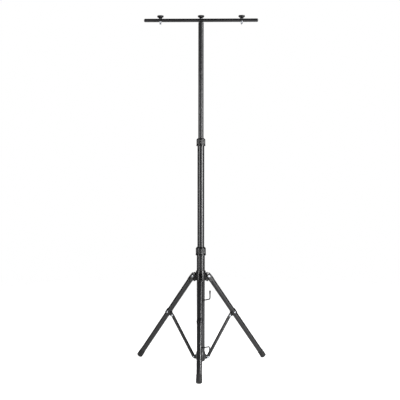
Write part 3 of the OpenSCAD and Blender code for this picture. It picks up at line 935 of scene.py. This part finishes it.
@dataclass
class LowerHub(SubAssembly):
    """The hub at the mast's foot with its three ears."""

    def build(self) -> None:
        """Rounds the hub's moulded edges."""
        self.round_off("lower_hub", "column", 0.7)


@dataclass
class TopHub(SubAssembly):
    """The sliding hub with its ears, clamp screw and clamp knob."""

    def build(self) -> None:
        """Rounds the hub's moulded edges and builds the clamp's knob."""
        self.round_off("top_hub", "top_hub", 0.7)
        Knob(self.wardrobe, node="clamp_knob", body="clamp_knob", up=Vector((0, 1, 0))).build()


@dataclass
class Leg(SubAssembly):
    """One leg: fork, tube, bracket, rivets and foot.

    Attributes:
        azimuth: where the leg points.
    """

    azimuth: Azimuth = Azimuth.FRONT
    foot_ribs: int = 3
    rib_depth: float = 0.7 * MM
    rib_spacing: float = 4.6 * MM
    sleeve_length: float = 28.0 * MM
    end_radius: float = 14.0 * MM
    end_round: float = 5.0 * MM
    end_depth: float = 4.5 * MM
    sleeve_wall: float = 1.1 * MM
    round_steps: int = 8
    tread_dish: float = 0.8 * MM

    def build(self) -> None:
        """Builds the leg's pieces from the top down."""
        word = self.azimuth.word
        self.body = "leg_" + word
        turn = math.radians(self.azimuth.value)
        self.out = Vector((math.cos(turn), math.sin(turn), 0))
        self.side = Vector((-math.sin(turn), math.cos(turn), 0))
        self.round_off("leg_fork_" + word, self.body, 0.9)
        self.round_off("bracket_" + word, self.body, 0.6)
        self.build_rivets()
        self.build_foot()

    def build_rivets(self) -> None:
        """Builds the top pivot, the bracket's rivet and the brace's pin."""
        word = self.azimuth.word
        shanks = {"leg_pin_": 3.0 * MM, "bracket_rivet_": 2.0 * MM, "brace_pin_": 2.5 * MM}
        for prefix, shank in shanks.items():
            node = prefix + word
            centre = middle(node)
            low, high = span(node, centre, self.side)
            Rivet(
                self.wardrobe, node=node, body=self.body, places=[(centre, self.side)],
                half_length=(high - low) / 2, shank_radius=shank,
            ).build()

    def build_foot(self) -> None:
        """Turns the rubber foot: a ribbed sleeve and a thick end cut flat where it stands."""
        word = self.azimuth.word
        tube = "leg_tube_" + word
        tube_middle = middle(tube)
        up = (tube_middle - middle("bracket_rivet_" + word)).normalized()
        if up.z < 0:
            up = -up
        low, high = span(tube, tube_middle, self.side)
        tube_radius = (high - low) / 2
        end = tube_middle + up * span(tube, tube_middle, up)[0]
        made = lathe(self.foot_profile(tube_radius), 64)
        made.transform(axis_frame(end, up, self.out))
        geometry = made.verts[:] + made.edges[:] + made.faces[:]
        bmesh.ops.bisect_plane(
            made, geom=geometry, plane_co=(0, 0, 0), plane_no=(0, 0, -1), clear_outer=True,
        )
        bmesh.ops.holes_fill(made, edges=[edge for edge in made.edges if edge.is_boundary])
        self.keep(
            finished("foot_boot_" + word, to_mesh(made), 38.0), self.body,
            self.wardrobe.slot_of_node["foot_" + word], "foot_" + word,
        )

    def foot_profile(self, tube_radius: float) -> Profile:
        """The foot's profile about the leg's axis, from the bore's floor over the sleeve to the tip."""
        top = self.sleeve_length
        rim = tube_radius + self.sleeve_wall
        outline = [(0.0, 0.0), (tube_radius, 0.0), (tube_radius, top - 0.3 * MM),
                   (tube_radius + 0.3 * MM, top), (rim, top - 0.6 * MM), (rim, top - 2.6 * MM)]
        height = top - 3.6 * MM
        for _ in range(self.foot_ribs):
            blend = 1 - height / top
            wall = rim + (self.end_radius - rim) * blend
            outline += [(wall - self.rib_depth, height), (wall - self.rib_depth, height - 0.9 * MM),
                        (wall, height - 1.5 * MM), (wall, height - self.rib_spacing + 0.7 * MM)]
            height -= self.rib_spacing
        steps = self.round_steps
        flat = self.end_radius - self.end_round
        for step in range(steps + 1):
            turn = math.pi / 2 * step / steps
            outline.append((flat + self.end_round * math.cos(turn),
                            -self.end_depth - self.end_round * math.sin(turn)))
        bottom = outline[-1][1]
        dish = bottom + self.tread_dish
        outline += [(flat * 0.8, bottom), (flat * 0.7, dish), (0.0, dish)]
        return outline


@dataclass
class Brace(SubAssembly):
    """One pressed channel brace between the lower hub and a leg's bracket."""

    azimuth: Azimuth = Azimuth.FRONT

    def build(self) -> None:
        """Rounds the channel's bends and cut edges."""
        node = "brace_" + self.azimuth.word
        self.round_off(node, node, 0.45)


@dataclass
class CableHooks(SubAssembly):
    """The two wire hooks on the front leg with their dipped tips."""

    def build(self) -> None:
        """Rounds the hooks' flanges and the dipped tips."""
        for node in ("upper_cable_hook", "lower_cable_hook"):
            self.round_off(node, "leg_front", 0.35)
        self.round_off("cable_hook_tips", "leg_front", 0.9)


@dataclass
class HubRivets(SubAssembly):
    """The brace pins and blind rivets of the lower hub."""

    def build(self) -> None:
        """Builds the three brace pins as one piece and the two blind rivets as another."""
        pins = "brace_hub_pins"
        places = []
        for joint in frame["joints"]:
            if joint["parent"] == "column" and joint["child"].startswith("brace_"):
                places.append((Vector(joint["pos_m"]), Vector(joint["axis"])))
        centre, axis = places[0]
        reach = [
            abs((vertex.co - centre).dot(axis)) for vertex in frame["nodes"][pins].data.vertices
            if (vertex.co - centre).length < 12 * MM
        ]
        Rivet(
            self.wardrobe, node=pins, body="column", places=places,
            half_length=max(reach), shank_radius=2.5 * MM,
        ).build()
        blind = "lower_hub_rivets"
        low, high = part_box(blind)
        inner = min(abs(vertex.co.y) for vertex in frame["nodes"][blind].data.vertices)
        Rivet(
            self.wardrobe, node=blind, body="column", places=[(middle(blind), Vector((0, 1, 0)))],
            half_length=(high.y - low.y) / 2, shank_radius=2.0 * MM, hollow=inner,
        ).build()


# ------------------------------------------------------------------ studio


@dataclass
class Studio:
    """The camera, the three lights, the pale floor and the white surroundings.

    Attributes:
        distance: how far the camera stands from the mast.
        eye_height: its height above the floor.
        aside: how far it stands to the right of the line to the mast.
        turn_deg: how far it has moved round the mast from the front, to the right.
        tilt_deg: how far it looks down.
        roll_deg: how far it leans.
        lens_mm: its focal length on a 36 mm sensor.
        floor_radius: radius of the floor, which fades out before it ends.
        white: hex colour of the surroundings.
        room_strength: how bright the surroundings are in reflections.
    """

    distance: float = 3.8
    eye_height: float = 0.89
    aside: float = -0.004
    turn_deg: float = 1.2
    tilt_deg: float = 1.63
    roll_deg: float = 0.05
    lens_mm: float = 72.7
    floor_radius: float = 6.0
    white: str = "#ffffff"
    room_strength: float = 0.12

    def build(self) -> None:
        """Sets up everything round the stand."""
        bpy.context.scene.view_settings.view_transform = "Standard"
        self.build_camera()
        self.build_world()
        self.build_floor()
        self.build_lights()

    def build_camera(self) -> None:
        """Stands the camera in front of the stand at a little over half its height."""
        lens = bpy.data.cameras.new("camera")
        lens.sensor_width = 36.0
        lens.lens = self.lens_mm
        camera = bpy.data.objects.new("camera", lens)
        bpy.context.scene.collection.objects.link(camera)
        turn = Matrix.Rotation(math.radians(self.turn_deg), 4, "Z")
        stand = Matrix.Translation((self.aside, -self.distance, self.eye_height))
        aim = Matrix.Rotation(math.radians(90 - self.tilt_deg), 4, "X")
        roll = Matrix.Rotation(math.radians(self.roll_deg), 4, "Z")
        camera.matrix_world = turn @ stand @ aim @ roll
        bpy.context.scene.camera = camera

    def build_world(self) -> None:
        """White behind everything, and a dimmer white room for the reflections."""
        world = bpy.data.worlds.new("white_room")
        world.use_nodes = True
        bpy.context.scene.world = world
        tree = world.node_tree
        tree.nodes.clear()
        seen = add_node(
            tree, "ShaderNodeBackground", {"Color": linear(self.white), "Strength": 1.0},
        )
        room = add_node(
            tree, "ShaderNodeBackground",
            {"Color": linear(self.white), "Strength": self.room_strength},
        )
        ray = add_node(tree, "ShaderNodeLightPath")
        mix = add_node(tree, "ShaderNodeMixShader", links={"Fac": ray.outputs["Is Camera Ray"]})
        tree.links.new(room.outputs[0], mix.inputs[1])
        tree.links.new(seen.outputs[0], mix.inputs[2])
        add_node(tree, "ShaderNodeOutputWorld", links={"Surface": mix.outputs[0]})

    def build_floor(self) -> None:
        """A round pale floor that fades into the white surroundings at its edge."""
        made = bmesh.new()
        bmesh.ops.create_circle(made, cap_ends=True, segments=96, radius=self.floor_radius)
        floor = finished("floor", to_mesh(made))
        floor.location.z = -0.0004
        floor.data.materials.append(self.floor_material())

    def floor_material(self) -> bpy.types.Material:
        """Matt white paper: bright where the lights reach it, gone at its rim."""
        made = bpy.data.materials.new("matt_white_paper_floor")
        made.use_nodes = True
        tree = made.node_tree
        tree.nodes.clear()
        place = add_node(tree, "ShaderNodeTexCoord").outputs["Object"]
        distance = add_node(
            tree, "ShaderNodeVectorMath", {"operation": "LENGTH"}, {"Vector": place},
        )
        fade = add_node(
            tree, "ShaderNodeMapRange",
            {"interpolation_type": "SMOOTHSTEP", "From Min": 0.25 * self.floor_radius,
             "From Max": 0.6 * self.floor_radius},
            {"Value": distance.outputs["Value"]},
        )
        paper = add_node(
            tree, "ShaderNodeBsdfDiffuse", {"Color": linear("#f4f4f4")},
        )
        ray = add_node(tree, "ShaderNodeLightPath")
        lift = add_node(
            tree, "ShaderNodeMapRange", {"To Min": 0.3, "To Max": 0.85},
            {"Value": ray.outputs["Is Camera Ray"]},
        )
        glow = add_node(
            tree, "ShaderNodeEmission", {"Color": linear(self.white)},
            {"Strength": lift.outputs["Result"]},
        )
        lit = add_node(tree, "ShaderNodeAddShader")
        tree.links.new(paper.outputs[0], lit.inputs[0])
        tree.links.new(glow.outputs[0], lit.inputs[1])
        clear = add_node(tree, "ShaderNodeBsdfTransparent")
        mix = add_node(tree, "ShaderNodeMixShader", links={"Fac": fade.outputs["Result"]})
        tree.links.new(lit.outputs[0], mix.inputs[1])
        tree.links.new(clear.outputs[0], mix.inputs[2])
        add_node(tree, "ShaderNodeOutputMaterial", links={"Surface": mix.outputs[0]})
        return made

    def build_lights(self) -> None:
        """A key softbox at the right, a weaker one at the left, and a small one high at the right."""
        self.add_softbox("key", Vector((2.15, -1.8, 0.95)), (1.0, 1.45), 88.0)
        self.add_softbox("fill", Vector((-2.15, -1.8, 0.95)), (0.8, 1.45), 36.0)
        self.add_softbox("high_strip", Vector((2.25, -1.05, 2.5)), (0.2, 0.45), 45.0)

    def add_softbox(
        self, name: str, place: Vector, size: tuple[float, float], watts: float,
    ) -> None:
        """Adds a rectangular light that faces the middle of the stand.

        Args:
            name: the light's name.
            place: its centre.
            size: its width and height.
            watts: its power.
        """
        light = bpy.data.lights.new(name, "AREA")
        light.shape = "RECTANGLE"
        light.size, light.size_y = size
        light.energy = watts
        lamp = bpy.data.objects.new(name, light)
        bpy.context.scene.collection.objects.link(lamp)
        target = Vector((0, 0, 0.9))
        lamp.matrix_world = Matrix.Translation(place) @ (
            (target - place).to_track_quat("-Z", "Y").to_matrix().to_4x4()
        )
        lamp.visible_camera = False


def main() -> None:
    """Builds the studio, then every sub-assembly from the floor up."""
    logging.basicConfig(level=logging.INFO, format="%(name)s: %(message)s")
    Studio().build()
    wardrobe = Wardrobe()
    wardrobe.dress_nodes()
    LowerHub(wardrobe).build()
    HubRivets(wardrobe).build()
    for azimuth in Azimuth:
        Brace(wardrobe, azimuth=azimuth).build()
        Leg(wardrobe, azimuth=azimuth).build()
    CableHooks(wardrobe).build()
    TopHub(wardrobe).build()
    Mast(wardrobe).build()
    LockCollar(wardrobe).build()
    LockCollar(
        wardrobe, node="upper_collar", ferrule="upper_ferrule", collet="upper_collet",
        tube="middle_tube", inner_tube="upper_tube",
    ).build()
    CrossBar(wardrobe).build()


if __name__ == "__main__":
    main()
